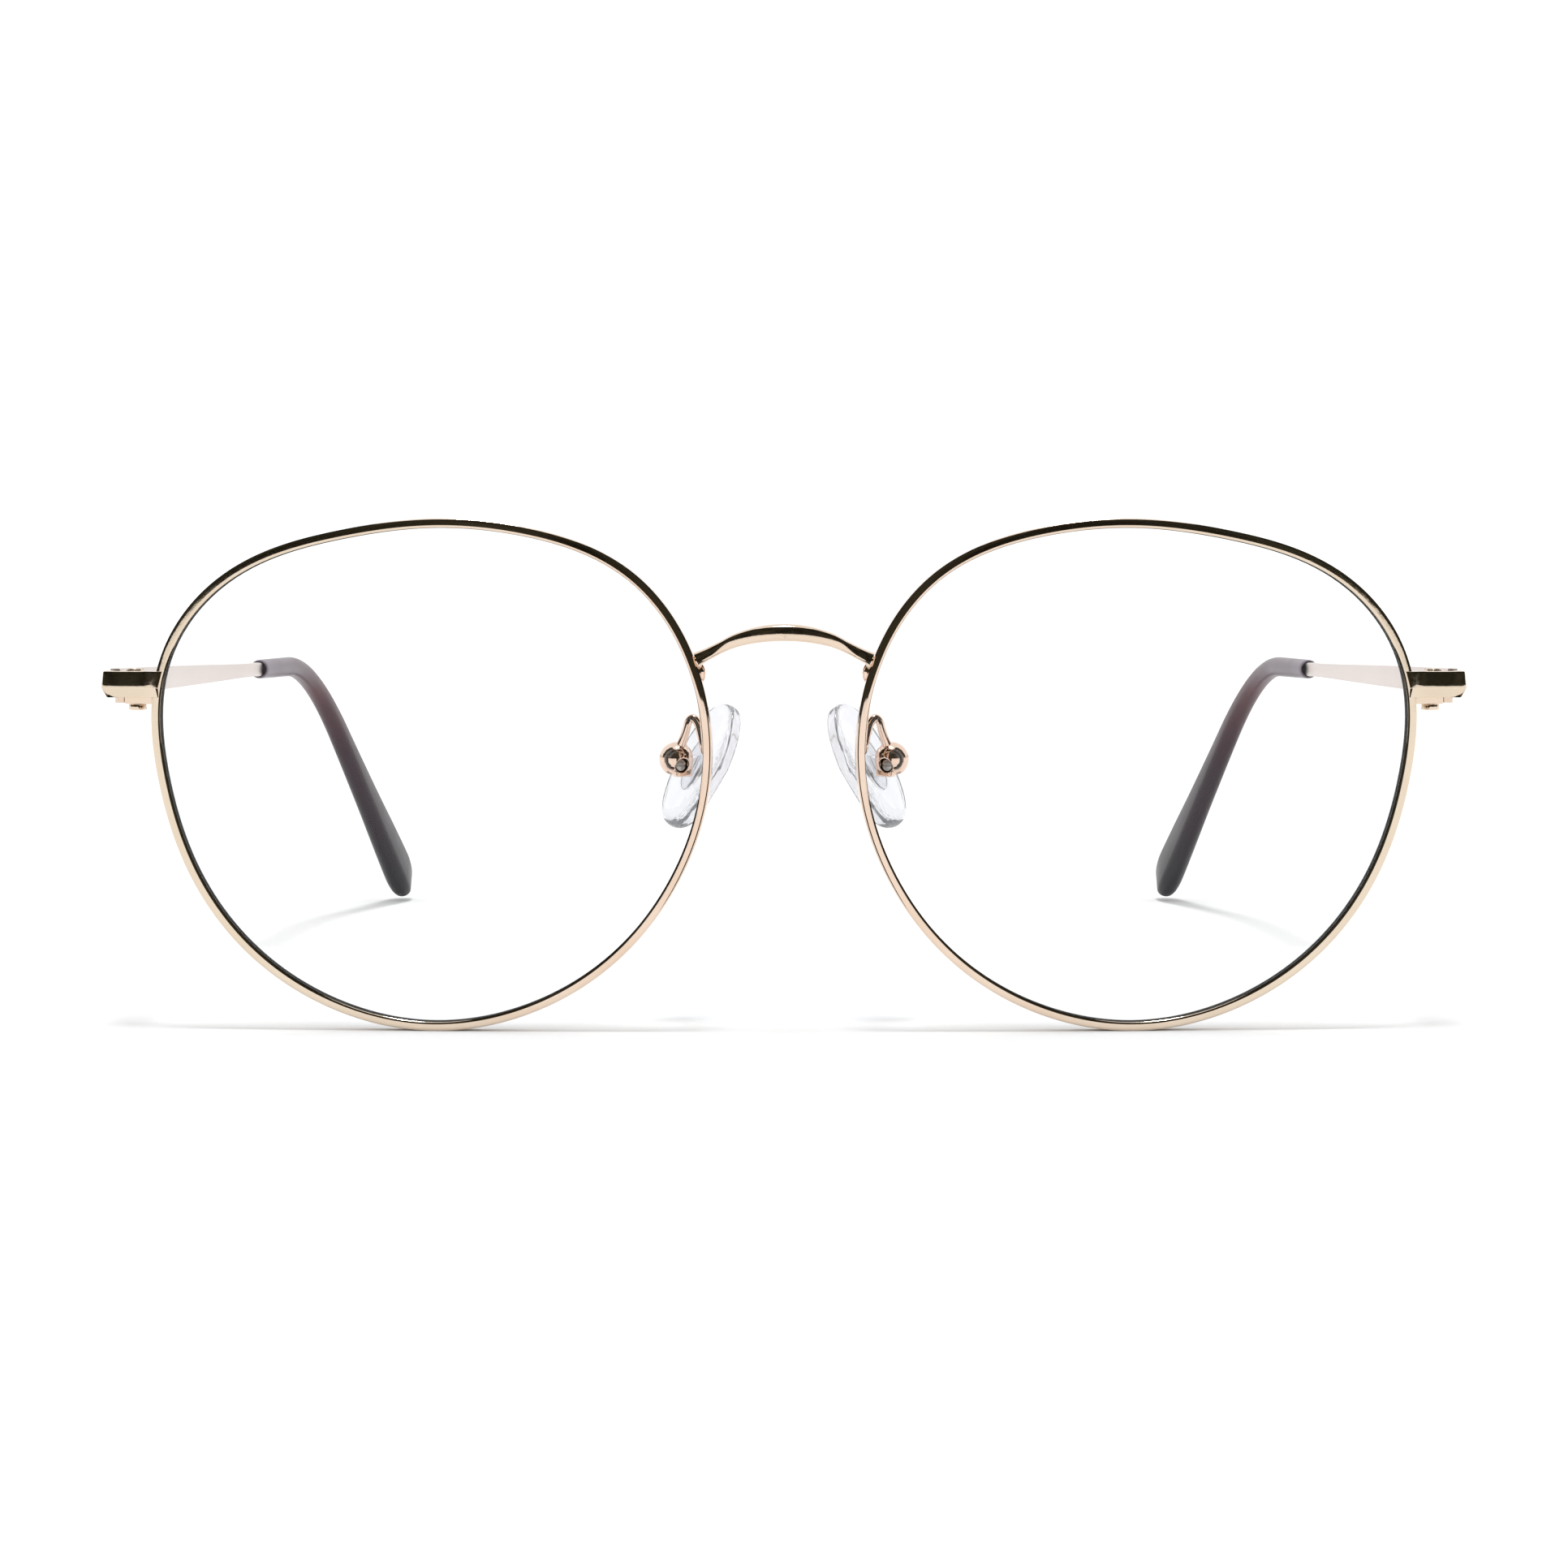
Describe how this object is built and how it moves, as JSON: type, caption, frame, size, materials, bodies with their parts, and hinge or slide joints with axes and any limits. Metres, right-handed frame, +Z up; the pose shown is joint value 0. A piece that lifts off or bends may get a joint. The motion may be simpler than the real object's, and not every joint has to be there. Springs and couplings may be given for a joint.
{
  "type": "eyeglasses",
  "caption": "Full-rim metal eyeglasses with rounded clear lenses, an arched bridge, rocking nose pads on wire arms and folding temples with plastic tips.",
  "frame": {"origin": "middle of the overall box on the surface the open glasses stand on", "axes": "+Z up, -Y the way the front faces, +X the wearer's left"},
  "size_m": [0.1356, 0.1358, 0.0508],
  "materials": {
    "champagne_gold": "polished champagne gold plating",
    "rose_gold": "polished rose gold plating",
    "brushed_strip": "satin pale pink gold plating",
    "steel": "bright screw steel",
    "clear_lens": "clear polished lens",
    "clear_silicone": "clear soft silicone",
    "clear_insert": "clear hard plastic",
    "smoky_acetate": "satin translucent smoky brown to charcoal"
  },
  "bodies": {
    "front": {"bridge": "rose_gold", "rim_left": "champagne_gold", "rim_right": "champagne_gold", "lens_left": "clear_lens", "lens_right": "clear_lens", "end_piece_left": "champagne_gold", "end_piece_right": "champagne_gold", "lock_block_upper_left": "champagne_gold", "lock_block_upper_right": "champagne_gold", "lock_block_lower_left": "champagne_gold", "lock_block_lower_right": "champagne_gold", "lock_screw_left": "rose_gold", "lock_screw_right": "rose_gold", "front_hinge_left": "champagne_gold", "front_hinge_right": "champagne_gold", "hinge_screw_left": "steel", "hinge_screw_right": "steel", "pad_arm_left": "rose_gold", "pad_arm_right": "rose_gold", "pad_box_left": "rose_gold", "pad_box_right": "rose_gold", "pad_screw_left": "steel", "pad_screw_right": "steel"},
    "temple_left_side": {"temple_left": "brushed_strip", "temple_hinge_left": "brushed_strip", "temple_tip_left": "smoky_acetate"},
    "temple_right_side": {"temple_right": "brushed_strip", "temple_hinge_right": "brushed_strip", "temple_tip_right": "smoky_acetate"},
    "pad_left_side": {"nose_pad_left": "clear_silicone", "pad_insert_left": "clear_insert"},
    "pad_right_side": {"nose_pad_right": "clear_silicone", "pad_insert_right": "clear_insert"}
  },
  "joints": [
    {"name": "temple_left_fold", "type": "hinge", "parent": "front", "child": "temple_left_side", "pos_m": [0.06508, -0.0591, 0.03392], "axis": [0, 0, 1], "range_deg": [0, 79]},
    {"name": "temple_right_fold", "type": "hinge", "parent": "front", "child": "temple_right_side", "pos_m": [-0.06508, -0.0591, 0.03392], "axis": [0, 0, -1], "range_deg": [0, 69]},
    {"name": "pad_left_rock", "type": "hinge", "parent": "front", "child": "pad_left_side", "pos_m": [0.0111, -0.0579, 0.026], "axis": [0.5878, 0.809, 0], "range_deg": [-10, 10]},
    {"name": "pad_right_rock", "type": "hinge", "parent": "front", "child": "pad_right_side", "pos_m": [-0.0111, -0.0579, 0.026], "axis": [0.5878, -0.809, 0], "range_deg": [-10, 10]}
  ]
}
